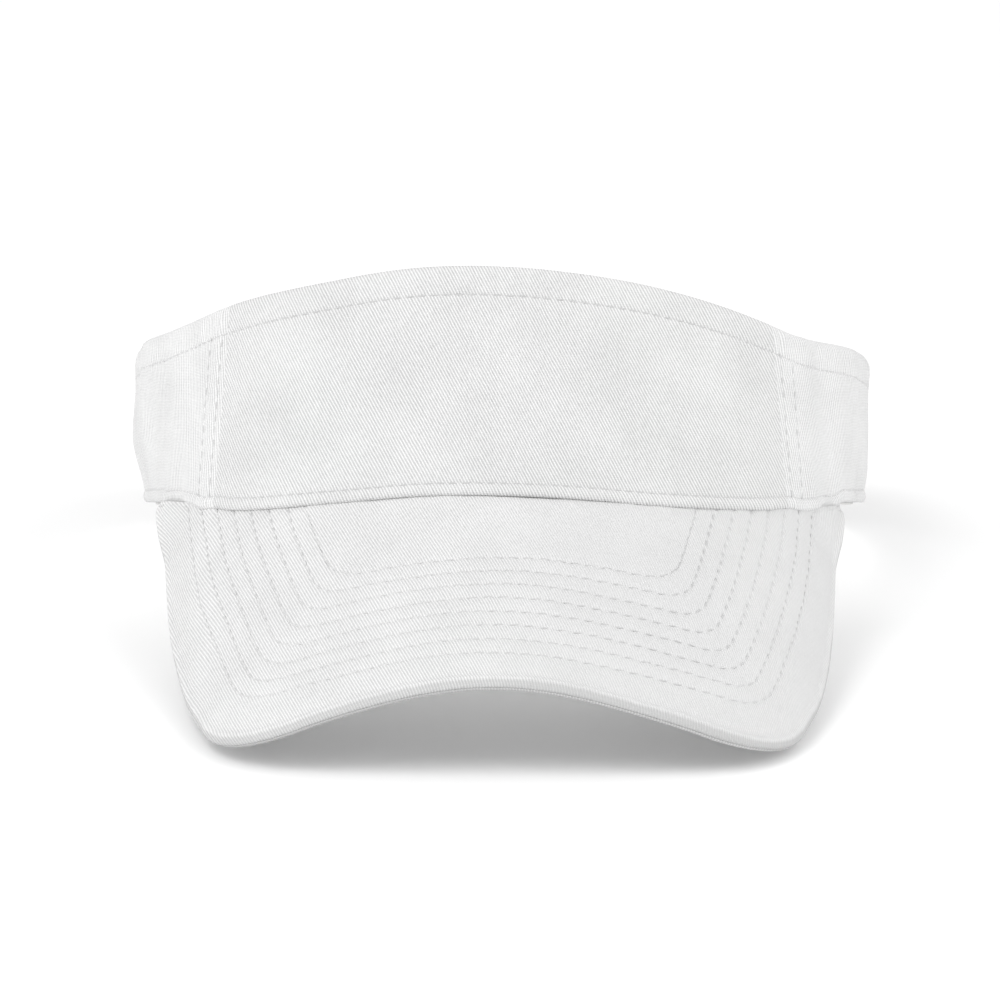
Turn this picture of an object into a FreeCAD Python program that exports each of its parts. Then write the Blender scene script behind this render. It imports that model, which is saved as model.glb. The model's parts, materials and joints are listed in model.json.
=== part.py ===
import FreeCAD, Part
import math
import os

# Sun visor: an arched bill, a low head band without a crown, and a hook-and-loop strap at the back.
# Everything is drawn in the plane of the head opening: U across (wearer's right is -U), D back from
# the front of the band and W up, square to that plane.  The finished pieces are then tilted so that
# the visor rests on a table on the two front corners of its bill and on the back of its band.

# Head band, seen from above at its lower outer edge: tangent arcs from the front centre to the back.
BAND_ARCS = ((84.0, 32.0), (62.0, 33.0), (210.0, 31.0), (44.5, 84.0))  # radius in mm, turn in degrees
FRONT_LEAN = 12.0          # the front of the band leans back by this many degrees
SIDE_LEAN = 2.3            # the sides lean in by this many degrees
SEAM_TURN = 64.5           # where the front panel meets the side panels
FLEX_TURN = 78.6           # where the band flexes, just behind the ends of the bill
ARM_END_TURN = 172.9       # where the band's arms end and the closing straps begin
FLEX_GAP = 0.55            # half the clear gap in the band at each flex line

# Upper edge of the band, as a height over the distance behind the front of that edge.
TOP_SHOULDER = 37.7
TOP_PEAK = 15.9
TOP_FALL = 28.3
TOP_SLOPE = 0.034
REAR_TAPER = 0.00055
REAR_TAPER_FROM = 60.0
BAND_FOOT = -2.4           # lower edge of the band behind the bill
BILL_ROOT_DEPTH = 80.0     # how far back the ends of the bill reach

# Thicknesses, as depths in from the outer face of the band.
PANEL_PLY = 0.8
INTERLINING_END = 1.2
SIDE_PLY = 1.0
WALL = 2.0
SWEATBAND_END = 4.2
PAD_START = 2.6
PAD_END = 3.6
LABEL_START = 4.3
LABEL_END = 4.6

# Sweatband heights.
SWEATBAND_TOP = 30.0
SWEATBAND_DROP = 10.0      # how far it stays under the upper edge of the band
SWEATBAND_FOOT = ((-40.0, -4.6), (20.0, -4.6), (34.0, -9.0), (60.0, -8.0), (80.0, -2.4), (240.0, -2.4))
SWEATBAND_END_TURN = 160.0
PAD_TURN = 50.0
PAD_LOW = 2.0
PAD_HIGH = 25.0

# Bill: a sheet bent to an elliptic vault whose straight lines run forward and down.
VAULT_RADIUS = 84.0        # radius of the arch, seen square to the head opening's front
BILL_SLOPE = 38.0          # fall of the crown line below the plane of the head opening
BILL_REACH = 72.5          # length of the bill's crown line, from the band to its front edge
BILL_ARCS = ((472.0, 6.0), (24.8, 73.9), (555.0, 12.2))  # edge seen square to the crown: radius, turn
COVER_PLY = 0.7
INSERT_PLY = 1.5
INSERT_MARGIN = 2.0        # the stiffener stops this far inside the covers' edge
INSERT_ROOT_MARGIN = 3.0   # and this far outside the band's lining

# Closing straps.
STRAP_LOW = -2.2
STRAP_HIGH = 22.8
STRAP_PLY = 1.8
HOOK_TAPE_PLY = 0.8
LOOP_TAPE_PLY = 1.0
TAPE_MARGIN = 2.0          # strap shown beside each tape
LAYER_GAP = 0.3
STRAP_ROOT = 46.5          # half the distance between the two straps' sewn ends
LOOP_FOLD = 4.0            # length of the loop strap's folded, sewn end
LOOP_TIP = 30.0
LOOP_TAPE_START = 33.0
HOOK_TIP = 26.0
TAB_ROOT = 3.5             # the tab peels from here to the tip
TAB_GAP = 0.5
TACK_LENGTH = 2.0
TACK_HEIGHT = 9.0
TACK_PLY = 0.4

# Care label, sewn inside the left arm.
LABEL_TURNS = (-112.0, -104.0)
LABEL_LOW = 6.0
LABEL_HIGH = 20.0

LOW = -14.0                # walls are first built between these heights, then trimmed
HIGH = 62.0
POINT_STEP = 3.0           # spacing, in degrees of turn, of the points that carry a wall's curves
SECTOR_REACH = 20.0        # half the thickness of the blocks that divide the band
REACH = 500.0              # larger than anything here


def vector(u, d, w):
    return FreeCAD.Vector(u, d, w)


def arc_chain(arcs, start):
    """Centre, radius, first and last turn of each tangent arc of an outline that begins at start."""
    chain = []
    u, d = start
    turn = 0.0
    for radius, sweep in arcs:
        a = math.radians(turn)
        centre_u = u - radius * math.sin(a)
        centre_d = d + radius * math.cos(a)
        b = math.radians(turn + sweep)
        u = centre_u + radius * math.sin(b)
        d = centre_d - radius * math.cos(b)
        chain.append((centre_u, centre_d, radius, turn, turn + sweep))
        turn += sweep
    return chain


BAND_CHAIN = arc_chain(BAND_ARCS, (0.0, 0.0))
BILL_CHAIN = arc_chain(BILL_ARCS, (0.0, -BILL_REACH))


def chain_point(chain, turn, inset=0.0):
    """Point of an outline where it has turned by this angle; a negative turn is on the -U side."""
    size = abs(turn)
    for centre_u, centre_d, radius, first, last in chain:
        if size <= last + 1e-9:
            break
    a = math.radians(size)
    u = centre_u + (radius - inset) * math.sin(a)
    d = centre_d - (radius - inset) * math.cos(a)
    return math.copysign(u, turn), d


BACK_DEPTH = chain_point(BAND_CHAIN, 180.0)[1]


def lean(turn):
    """How far the band's face moves inwards for each millimetre of height."""
    a = math.radians(turn)
    front = math.tan(math.radians(FRONT_LEAN)) * max(0.0, math.cos(a)) ** 1.5
    side = math.tan(math.radians(SIDE_LEAN)) * math.sin(a) ** 2
    return front + side


def band_point(turn, depth, height):
    u, d = chain_point(BAND_CHAIN, turn, depth + lean(turn) * height)
    return vector(u, d, height)


def plumb_point(turn, depth, height):
    u, d = chain_point(BAND_CHAIN, turn, depth)
    return vector(u, d, height)


def turns_between(first, last):
    count = max(3, int(abs(last - first) / POINT_STEP) + 1)
    return [first + (last - first) * i / count for i in range(count + 1)]


def smooth_edge(points):
    curve = Part.BSplineCurve()
    curve.interpolate(points)
    return curve.toShape()


def inside(depth):
    """Everything inside the band, from this depth in from its outer face."""
    wires = []
    for height in (LOW, HIGH):
        right = smooth_edge([band_point(t, depth, height) for t in turns_between(0.0, 180.0)])
        left = right.mirror(vector(0, 0, 0), vector(1, 0, 0))
        back = Part.makeLine(right.Vertexes[-1].Point, left.Vertexes[-1].Point)
        wires.append(Part.Wire(Part.__sortEdges__([right, back, left])))
    return Part.makeLoft(wires, True, True)


def sector(first, last):
    """Upright block that holds the band between two turns, with ends square to the band."""
    turns = turns_between(first, last)
    outer = [plumb_point(t, -SECTOR_REACH, -REACH / 2) for t in turns]
    inner = [plumb_point(t, SECTOR_REACH, -REACH / 2) for t in reversed(turns)]
    corners = outer + inner
    face = Part.Face(Part.makePolygon(corners + corners[:1]))
    return face.extrude(vector(0, 0, REACH))


def wall(first, last, outer, inner):
    """Strip of the band between two turns and two depths in from its outer face."""
    return inside(outer).cut(inside(inner)).common(sector(first, last))


def slab(low, high):
    """Everything between two heights."""
    return Part.makeBox(REACH, REACH, high - low, vector(-REACH / 2, -REACH / 2, low))


def side_prism(points):
    """Prism across the visor whose side view is bounded by these (D, W) points."""
    corners = [vector(-REACH / 2, d, w) for d, w in points]
    face = Part.Face(Part.makePolygon(corners + corners[:1]))
    return face.extrude(vector(REACH, 0, 0))


def top_height(depth):
    back = max(0.0, depth - REAR_TAPER_FROM)
    fall = TOP_SLOPE * depth + REAR_TAPER * back ** 2
    return TOP_SHOULDER + TOP_PEAK * math.exp(-max(0.0, depth) / TOP_FALL) - fall


TOP_FRONT = lean(0.0) * (TOP_SHOULDER + TOP_PEAK)   # depth of the upper edge at the front centre


def above_top(drop, cap=HIGH):
    """Everything above the band's upper edge, lowered by drop and never over cap."""
    depths = [TOP_FRONT + 6.0 * i for i in range(34)]
    heights = [min(cap, top_height(d - TOP_FRONT) - drop) for d in depths]
    edge_points = [vector(-REACH / 2, d, w) for d, w in zip(depths, heights)]
    edge_points.insert(0, vector(-REACH / 2, -REACH, heights[0]))
    edge_points.append(vector(-REACH / 2, REACH, heights[-1]))
    outline = edge_points + [vector(-REACH / 2, REACH, REACH), vector(-REACH / 2, -REACH, REACH)]
    face = Part.Face(Part.makePolygon(outline + outline[:1]))
    return face.extrude(vector(REACH, 0, 0))


def vault(depth):
    """Solid under the bill's upper surface, lowered by depth square to the surface."""
    rise = VAULT_RADIUS * math.cos(math.radians(BILL_SLOPE))
    major = VAULT_RADIUS - depth
    minor = rise - depth
    centre = vector(0, -rise, 0)
    ellipse = Part.Ellipse(vector(major, -rise, 0), vector(0, minor - rise, 0), centre)
    arch = Part.ArcOfEllipse(ellipse, 0.0, math.pi).toShape()
    base = Part.makeLine(vector(-major, -rise, 0), vector(major, -rise, 0))
    section = Part.Face(Part.Wire([arch, base]))
    section.translate(vector(0, 0, -REACH / 2))
    solid = section.extrude(vector(0, 0, REACH))
    solid.rotate(vector(0, 0, 0), vector(1, 0, 0), 90.0 + BILL_SLOPE)
    return solid


def bill_edge_point(turn, depth):
    """Point of the bill's edge where its outline has turned by this angle, depth below the top."""
    slope = math.radians(BILL_SLOPE)
    u, back = chain_point(BILL_CHAIN, turn)
    rise = VAULT_RADIUS * math.cos(slope)
    drop = rise - (rise - depth) * math.sqrt(1.0 - (u / (VAULT_RADIUS - depth)) ** 2)
    d = back * math.cos(slope) + drop * math.sin(slope)
    w = back * math.sin(slope) - drop * math.cos(slope)
    return vector(u, d, w)


def bill_plan(inset):
    """Prism through the bill's edge, square to the crown line and drawn in by inset."""
    edges = []
    for side in (1.0, -1.0):
        for centre_u, centre_d, radius, first, last in BILL_CHAIN:
            points = []
            for turn in (first, (first + last) / 2, last):
                a = math.radians(turn)
                u = centre_u + (radius - inset) * math.sin(a)
                d = centre_d - (radius - inset) * math.cos(a)
                points.append(vector(side * u, d, -REACH / 2))
            edges.append(Part.Arc(*points).toShape())
    right_end = edges[2].Vertexes[-1].Point
    left_end = edges[5].Vertexes[-1].Point
    edges.append(Part.makeLine(right_end, left_end))
    wire = Part.Wire(Part.__sortEdges__(edges))
    prism = Part.Face(wire).extrude(vector(0, 0, REACH))
    prism.rotate(vector(0, 0, 0), vector(1, 0, 0), BILL_SLOPE)
    return prism


def trimmed_wall(first, last, outer, inner):
    """Strip of the band, cut to the upper edge, to the bill's upper surface and to the lower edge."""
    strip = wall(first, last, outer, inner)
    strip = strip.cut(above_top(0.0))
    foot = ((BILL_ROOT_DEPTH, -REACH), (BILL_ROOT_DEPTH, BAND_FOOT), (REACH, BAND_FOOT), (REACH, -REACH))
    strip = strip.cut(side_prism(foot))
    if min(abs(first), abs(last)) < FLEX_TURN:
        front_half = Part.makeBox(REACH, REACH, REACH, vector(-REACH / 2, BILL_ROOT_DEPTH - REACH, -REACH / 2))
        strip = strip.cut(vault(0.0).common(front_half))
    return strip


def sweatband(first, last):
    strip = wall(first, last, WALL, SWEATBAND_END)
    strip = strip.cut(above_top(SWEATBAND_DROP, SWEATBAND_TOP))
    foot = [(SWEATBAND_FOOT[0][0], -REACH)] + list(SWEATBAND_FOOT) + [(SWEATBAND_FOOT[-1][0], -REACH)]
    return strip.cut(side_prism(foot))


def flex_turn(side, step):
    """Turn that lies step millimetres along the band from a flex line; side is 1 or -1."""
    radius = [arc[2] for arc in BAND_CHAIN if arc[3] <= FLEX_TURN <= arc[4]][0]
    return side * (FLEX_TURN + math.degrees(step / radius))


def make_bill():
    """The stiffener and the two cloth covers that are sewn round it."""
    total = 2 * COVER_PLY + INSERT_PLY
    band = inside(WALL)
    pocket_band = inside(-INSERT_ROOT_MARGIN)
    edge = bill_plan(0.0)
    insert = vault(COVER_PLY).cut(vault(COVER_PLY + INSERT_PLY))
    insert = insert.common(bill_plan(INSERT_MARGIN)).cut(pocket_band)
    middle = vault(total / 2)
    upper = vault(0.0).cut(middle).common(edge).cut(band).cut(insert)
    lower = middle.cut(vault(total)).common(edge).cut(band).cut(insert)
    return {"bill_insert": insert, "bill_upper_cover": upper, "bill_lower_cover": lower}


def make_front():
    """The front panel with its stiffening, the side panels beside it, the lining and the sweatband."""
    left = flex_turn(-1, -FLEX_GAP)
    right = flex_turn(1, -FLEX_GAP)
    pad = wall(-PAD_TURN, PAD_TURN, PAD_START, PAD_END).common(slab(PAD_LOW, PAD_HIGH))
    pieces = {
        "front_panel": trimmed_wall(-SEAM_TURN, SEAM_TURN, 0.0, PANEL_PLY),
        "front_interlining": trimmed_wall(-SEAM_TURN, SEAM_TURN, PANEL_PLY, INTERLINING_END),
        "left_side_panel": trimmed_wall(left, -SEAM_TURN, 0.0, SIDE_PLY),
        "right_side_panel": trimmed_wall(SEAM_TURN, right, 0.0, SIDE_PLY),
        "sweatband_pad": pad,
        "sweatband_front": sweatband(left, right).cut(pad),
    }
    lining = trimmed_wall(-SEAM_TURN, SEAM_TURN, INTERLINING_END, WALL)
    for first, last in ((left, -SEAM_TURN), (SEAM_TURN, right)):
        lining = lining.fuse(trimmed_wall(first, last, SIDE_PLY, WALL))
    pieces["front_lining"] = lining.removeSplitter()
    return pieces


def make_arm(side, name):
    """One arm of the band, from its flex line to the strap: panel, lining and sweatband."""
    start = flex_turn(side, FLEX_GAP)
    end = side * ARM_END_TURN
    return {
        name + "_arm_panel": trimmed_wall(start, end, 0.0, SIDE_PLY),
        name + "_arm_lining": trimmed_wall(start, end, SIDE_PLY, WALL),
        "sweatband_" + name: sweatband(start, side * SWEATBAND_END_TURN),
    }


def strap_block(u0, u1, outer, inner, low=STRAP_LOW, high=STRAP_HIGH):
    """Straight piece across the back, between two depths in from the band's outer face."""
    return Part.makeBox(u1 - u0, inner - outer, high - low, vector(u0, BACK_DEPTH - inner, low))


def rounded_tip(block, u):
    """Rounds the two upright corners of a strap's tip, at this U."""
    edges = []
    for e in block.Edges:
        first, last = (v.Point for v in e.Vertexes)
        across = abs(first.x - u) < 1e-6 and abs(last.x - u) < 1e-6
        if across and abs(first.z - last.z) < 1e-6:
            edges.append(e)
    return block.makeFillet(6.0, edges)


def tacks(u, outer):
    """Two dense bars of stitching, one near each edge of a strap."""
    bars = []
    for low in (STRAP_LOW + 1.5, STRAP_HIGH - 1.5 - TACK_HEIGHT):
        bars.append(strap_block(u, u + TACK_LENGTH, outer - TACK_PLY, outer, low, low + TACK_HEIGHT))
    return Part.makeCompound(bars)


HOOK_FACE = STRAP_PLY + HOOK_TAPE_PLY               # depth of the hooks
LOOP_FACE = HOOK_FACE + LAYER_GAP                   # depth of the loops
LOOP_STRAP_FACE = LOOP_FACE + LOOP_TAPE_PLY
TAPE_LOW = STRAP_LOW + TAPE_MARGIN
TAPE_HIGH = STRAP_HIGH - TAPE_MARGIN


def make_loop_strap():
    """The inner strap, which carries the loop tape on its outer face."""
    inner = LOOP_STRAP_FACE + STRAP_PLY
    strap = rounded_tip(strap_block(-STRAP_ROOT, LOOP_TIP, LOOP_STRAP_FACE, inner), LOOP_TIP)
    fold = strap_block(-STRAP_ROOT, -STRAP_ROOT + LOOP_FOLD, 0.0, LOOP_STRAP_FACE)
    tape = strap_block(-LOOP_TAPE_START, LOOP_TIP - TAPE_MARGIN, LOOP_FACE, LOOP_STRAP_FACE, TAPE_LOW, TAPE_HIGH)
    return {
        "loop_strap": strap.fuse(fold).removeSplitter(),
        "loop_tape": tape,
        "loop_strap_tacks": tacks(-STRAP_ROOT + 1.0, 0.0),
    }


def make_hook_strap():
    """The outer strap, with the hook tape on its inner face."""
    return {
        "hook_strap": strap_block(-TAB_ROOT, STRAP_ROOT, 0.0, STRAP_PLY),
        "hook_tape": strap_block(-TAB_ROOT, HOOK_TIP, STRAP_PLY, HOOK_FACE, TAPE_LOW, TAPE_HIGH),
        "hook_strap_tacks": tacks(STRAP_ROOT - 5.0, 0.0),
    }


def make_hook_tab():
    """The free end of the outer strap, which is peeled open."""
    tip = -HOOK_TIP
    root = -TAB_ROOT - TAB_GAP
    tab = rounded_tip(strap_block(tip, root, 0.0, STRAP_PLY), tip)
    tape = strap_block(tip + TAPE_MARGIN, root, STRAP_PLY, HOOK_FACE, TAPE_LOW, TAPE_HIGH)
    return {"hook_tab": tab, "hook_tab_tape": tape}


def rest_tilt():
    """Tilt at which a table touches both the bill's lower edge and the back of the band."""
    total = 2 * COVER_PLY + INSERT_PLY
    best = 0.0
    last_turn = sum(sweep for radius, sweep in BILL_ARCS)
    for step in range(200):
        point = bill_edge_point(last_turn * step / 200, total)
        best = max(best, math.atan2(BAND_FOOT - point.z, BACK_DEPTH - point.y))
    return math.degrees(best)


def placed(pieces):
    """Tilts every piece to rest on a table and centres the footprint on the origin."""
    turn = FreeCAD.Rotation(vector(1, 0, 0), -rest_tilt())
    for shape in pieces.values():
        shape.Placement = FreeCAD.Placement(vector(0, 0, 0), turn).multiply(shape.Placement)
    box = Part.makeCompound(list(pieces.values())).optimalBoundingBox()
    move = vector(-(box.XMin + box.XMax) / 2, -(box.YMin + box.YMax) / 2, -box.ZMin)
    for shape in pieces.values():
        shape.Placement = FreeCAD.Placement(move, FreeCAD.Rotation()).multiply(shape.Placement)
    return FreeCAD.Placement(move, turn)


def main():
    pieces = {}
    for group in (make_bill(), make_front(), make_arm(-1, "left"), make_arm(1, "right")):
        pieces.update(group)
    label = wall(*LABEL_TURNS, LABEL_START, LABEL_END)
    pieces["care_label"] = label.common(slab(LABEL_LOW, LABEL_HIGH))
    for group in (make_loop_strap(), make_hook_strap(), make_hook_tab()):
        pieces.update(group)
    frame = placed(pieces)
    os.makedirs("parts", exist_ok=True)
    for name, shape in pieces.items():
        print("%-20s valid %s, solids %d, %.0f mm3" % (name, shape.isValid(), len(shape.Solids), shape.Volume))
        shape.exportStep("parts/" + name + ".step")
    axes = {
        "left flex line": plumb_point(-FLEX_TURN, WALL / 2, 12.0),
        "right flex line": plumb_point(FLEX_TURN, WALL / 2, 12.0),
        "left strap line": vector(-(STRAP_ROOT + 0.5), BACK_DEPTH - WALL / 2, 10.0),
        "right strap line": vector(STRAP_ROOT + 0.5, BACK_DEPTH - WALL / 2, 10.0),
        "tab line": vector(-TAB_ROOT, BACK_DEPTH, 10.0),
        "head opening": vector(0.0, BACK_DEPTH / 2, 0.0),
    }
    for name, point in axes.items():
        print("%-20s" % name, [round(c, 2) for c in frame.multVec(point)])
    print("upright of the head opening", [round(c, 5) for c in frame.Rotation.multVec(vector(0, 0, 1))])
    print("tilt %.3f degrees, frame offset" % rest_tilt(), [round(c, 3) for c in frame.Base])
    box = Part.makeCompound(list(pieces.values())).optimalBoundingBox()
    print("overall %.1f x %.1f x %.1f mm" % (box.XLength, box.YLength, box.ZLength))


main()
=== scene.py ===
import json
import math

import bpy
import numpy as np
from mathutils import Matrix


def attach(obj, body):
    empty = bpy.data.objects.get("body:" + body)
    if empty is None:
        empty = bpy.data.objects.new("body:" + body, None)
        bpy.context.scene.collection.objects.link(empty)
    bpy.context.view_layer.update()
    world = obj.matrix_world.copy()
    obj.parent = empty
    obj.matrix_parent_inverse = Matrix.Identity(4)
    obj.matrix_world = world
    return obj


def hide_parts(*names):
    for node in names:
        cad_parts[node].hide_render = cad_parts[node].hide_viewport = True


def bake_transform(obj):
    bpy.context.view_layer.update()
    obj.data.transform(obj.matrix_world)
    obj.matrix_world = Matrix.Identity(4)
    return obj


# White cotton sun visor.  Shapes are worked out in the plane of the head opening, in millimetres: U across,
# D back from the front of the band and W up, square to that plane.  "Along" is the distance along the band's
# lower outer edge from the front centre, positive on the +U side, and "depth" is how far a point lies in
# from the band's outer face or below the bill's upper face.

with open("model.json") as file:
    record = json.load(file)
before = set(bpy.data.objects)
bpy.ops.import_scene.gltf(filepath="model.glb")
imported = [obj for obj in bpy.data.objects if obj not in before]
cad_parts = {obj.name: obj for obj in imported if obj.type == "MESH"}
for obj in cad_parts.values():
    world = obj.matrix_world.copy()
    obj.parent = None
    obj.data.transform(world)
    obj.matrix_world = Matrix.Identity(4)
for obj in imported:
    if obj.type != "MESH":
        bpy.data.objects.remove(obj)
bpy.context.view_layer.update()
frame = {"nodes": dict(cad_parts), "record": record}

# --- the band
BAND_ARCS = ((84.0, 32.0), (62.0, 33.0), (210.0, 31.0), (44.5, 84.0))  # radius, turn in degrees
FRONT_LEAN = math.tan(math.radians(12.0))
SIDE_LEAN = math.tan(math.radians(2.3))
SEAM_TURN = 64.5
ARM_END_TURN = 172.9
TOP_SHOULDER = 37.7
TOP_PEAK = 15.9
TOP_FALL = 28.3
TOP_SLOPE = 0.034
REAR_TAPER = 0.00055
REAR_TAPER_FROM = 60.0
TOP_SKEW = 2.3             # the upper edge stands this much higher on one shoulder, lower on the other
TOP_DROP = 0.4             # and dips this much in the middle
TOP_DIPS = ((-44.0, 16.0, 0.7), (36.0, 14.0, -0.35), (72.0, 14.0, 0.55))  # and elsewhere: U, width, drop
ARM_SWAY = ((3.0, 17.0, 0.9), (1.1, 9.0, 2.0))  # -U and +U arm: draws in by, up to this height, leans out by
SWAY_STARTS = (116.0, 28.0)  # place along the arm, and the length over which it grows
SWAY_STOPS = (232.0, 45.0)
FLARE_HEIGHT = 34.0
BAND_FOOT = -2.4
BILL_ROOT_DEPTH = 80.0
WALL = 2.0                 # thickness of the band's layers, without the sweatband

# --- cloth and thread
PLY = 0.55                 # thickness of one layer of the twill
HEM = 6.3                  # the hem's stitches below the upper edge
SEAM_ROWS = (3.2, 9.5)     # two rows of stitches beside each side seam
ARM_ROWS = (2.5, 5.5)      # and two before the arm's end
BAND_PITCH = 3.0           # stitch lengths
BILL_PITCH = 3.8
THREAD = 0.38
# Rows of a panel's section, as (depth, height above its foot) and (depth, distance below its top).
FOOT_ROLL = np.array((
    (1.5, 1.0), (0.9, 0.8), (0.35, 0.72), (-0.15, 0.85), (-0.45, 1.2), (-0.6, 1.7), (-0.54, 2.2),
    (-0.3, 2.75), (0.0, 3.1), (0.24, 3.35), (0.15, 3.65), (0.02, 4.0)))
TOP_ROLL = np.array((
    (0.0, 7.2), (0.06, 6.75), (0.2, 6.5), (0.28, 6.3), (0.18, 6.1), (0.0, 5.85), (-0.08, 5.2), (-0.12, 4.2),
    (-0.14, 3.0), (-0.12, 1.9), (-0.04, 1.1), (0.12, 0.55), (0.4, 0.08), (0.75, -0.2), (1.05, -0.28),
    (1.4, -0.2), (1.75, 0.08), (2.0, 0.55), (2.12, 1.1), (2.16, 2.2), (2.16, 3.6), (2.14, 5.0), (2.08, 5.9),
    (1.95, 6.3), (1.8, 6.7)))
FOOT_STITCH = 9            # the row of the foot roll that is sewn, and the two of the top roll
TOP_STITCHES = (3, 23)
FRONT_ROWS = 52            # rows of the mesh between the two rolls
SIDE_ROWS = 34

# --- the lining, sweatband and label
INTERLINING_PLY = 0.3
INTERLINING_DEPTH = 0.95
LINING_PLY = 0.42
LINING_DEPTH = 1.55
LINING_BELOW_TOP = 4.2
SWEATBAND_END_TURN = 160.0
SWEATBAND_SPLIT_DEPTH = 77.0
SWEATBAND_END = 4.2
SWEATBAND_TOP = 30.0
SWEATBAND_DROP = 10.0
SWEATBAND_FOOT = ((-40.0, -4.6), (20.0, -4.6), (34.0, -9.0), (60.0, -8.0), (80.0, -2.4), (240.0, -2.4))
LABEL_TURNS = (-112.0, -104.0)
LABEL_HEIGHTS = (6.0, 20.0)
LABEL_PLY = 0.14

# --- the bill, whose flat pattern is bounded by tangent arcs: front edge, corner and side edge
VAULT_RADIUS = 84.0
BILL_SLOPE = math.radians(38.0)
BILL_THICKNESS = 2.9
BILL_PLY = 0.5
LIP_PLIES = (0.3, 0.36, 0.42, 0.47)  # thinner at the very edge, where the two covers meet
BOARD_PLY = 1.2
PATTERN_REACH = 73.4
PATTERN_ARCS = ((1238.0, 2.34), (34.0, 66.55), (246.6, 28.0))
ROW_ARCS = ((335.0, 9.65), (29.4, 61.85), (328.0, 20.5))  # the rows of stitches were marked from this outline
ROW_CORNERS = (17.5, 11.5, 10.0, 12.0)  # corner radius of the rows, from the first to the last
BILL_ROWS = 8
ROW_MARGIN = (11.6, 10.7)  # outermost row's distance from the front edge and from the side edge
ROW_STEP = (5.26, 4.83)
ROW_LINES = [ROW_MARGIN[0] + ROW_STEP[0] * row for row in range(BILL_ROWS)]
PATTERN_CENTRE = (0.0, -60.0)  # the mesh's rays start here, on the crown line behind the band
RAYS = 391
LAST_RAY = math.radians(94.3)
EDGE_ROLL = 1.9            # the covers turn towards each other over this distance from the edge
BILL_SHIFT = 0.65          # the worn bill's front has drifted sideways
BILL_SKEW = 0.75           # and hangs lower on one side
BILL_CROWN = 0.98          # with a tighter arch in the middle
ROOT_SLACK = (0.75, 0.35, 1.65, 2.3)  # the band sinks: all over, more on +U, less at seams, more at ends
TIP_LIFT = 1.1             # the bill's -U end is pulled up this far where it meets the band
TIP_SPREAD = 2.2           # both ends are spread this far
TIP_TUCK = 1.2             # and their hidden tips draw in and drop behind the band
TIP_FALL = 3.5

# --- the straps across the back, with U as the place along them
STRAP_LOW = -2.2
STRAP_HIGH = 22.8
STRAP_WIDTH = STRAP_HIGH - STRAP_LOW
STRAP_PLY = 1.8
STRAP_CLOTH = 0.5
STRAP_ROWS = (2, 23, 34, 55)  # lines of the strap's section that carry its edge stitching
STRAP_TAIL = 53.0          # the straps' ends are sewn inside the arms up to here
ARM_EDGE = 46.6            # and get thinner from here
STRAP_SPLIT = 12.0         # the tab's cloth and the outer strap's cloth meet here
TIP_RADIUS = 6.0
HOOK_TAPE_PLY = 0.8
LOOP_TAPE_PLY = 1.0
TAPE_MARGIN = 2.0          # from the strap's edges to the tape's
LAYER_GAP = 0.3
LOOP_TIP = 30.0
LOOP_TAPE_START = 33.0
HOOK_TIP = 26.0
LOOP_FACE = STRAP_PLY + HOOK_TAPE_PLY + LAYER_GAP
LOOP_STRAP_FACE = LOOP_FACE + LOOP_TAPE_PLY
HOOK_FACES = (STRAP_PLY - 0.05, STRAP_PLY + HOOK_TAPE_PLY - 0.35)
TACK_HEIGHT = 9.0
# Outlines of one fibre of the tapes, as (along, out).
LOOP_FIBRE = ((-0.3, 0.0), (-0.28, 0.22), (-0.12, 0.36), (0.1, 0.38), (0.26, 0.24), (0.3, 0.0))
HOOK_FIBRE = ((0.0, -0.1), (0.0, 0.18), (0.06, 0.34), (0.2, 0.4), (0.32, 0.33), (0.35, 0.22))
FIBRE_RADIUS = 0.09

# --- the studio, in metres and watts
FLOOR_HALF = 4.0
LIGHTS = (("key", (-0.9, -1.3, 1.9), 1.4, 17.0), ("fill", (1.2, -1.0, 1.4), 1.4, 8.0),
          ("left_side", (-1.9, -0.5, 0.7), 1.0, 10.0), ("right_side", (1.9, -0.5, 0.7), 1.0, 8.5),
          ("low_front", (-0.2, -2.2, 0.35), 1.4, 3.0))  # name, place, size, power
LIGHTS_AIM = (0.0, 0.0, 0.05)
WORLD_LIGHT = 0.77
LENS = 1500.0              # millimetres, as is the sensor
SENSOR = 36.0
FIELD = 0.236              # width of the view at the head opening
AIM = (-0.0001, -0.0014)   # across and up from the front of the band


# --- curves and surfaces
def smooth(x):
    x = np.clip(x, 0, 1)
    return x * x * (3 - 2 * x)


def mix(start, end, share):
    return start * (1 - share) + end * share


def hump(x, centre, width):
    return np.exp(-(((x - centre) / width) ** 2))


def rounded(distance, radius):
    """Grows from almost nothing to 1, as a quarter of a circle does, over this radius."""
    return np.sqrt(np.clip(1 - (1 - np.minimum(distance / radius, 1)) ** 2, 0.02, 1))


def run_along(points):
    """Distance run along lines of points, whose coordinates are on the last axis."""
    steps = np.linalg.norm(np.diff(points, axis=-2), axis=-1)
    return np.cumsum(np.insert(steps, 0, 0, axis=-1), axis=-1)


def ripple(x, y, size, seed, stretch=1.0):
    """Smooth random relief, about -1 to 1, with features of this size, longer along y by stretch."""
    rng = np.random.default_rng(seed)
    total = 0.0
    for k in range(16):
        angle = rng.uniform(0.0, 2.0 * math.pi)
        wave = 2.0 * math.pi / size * rng.uniform(0.5, 1.3)
        phase = rng.uniform(0.0, 2.0 * math.pi)
        total = total + np.sin(wave * (x * math.cos(angle) + y * math.sin(angle) / stretch) + phase)
    return total / 4.0


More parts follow.
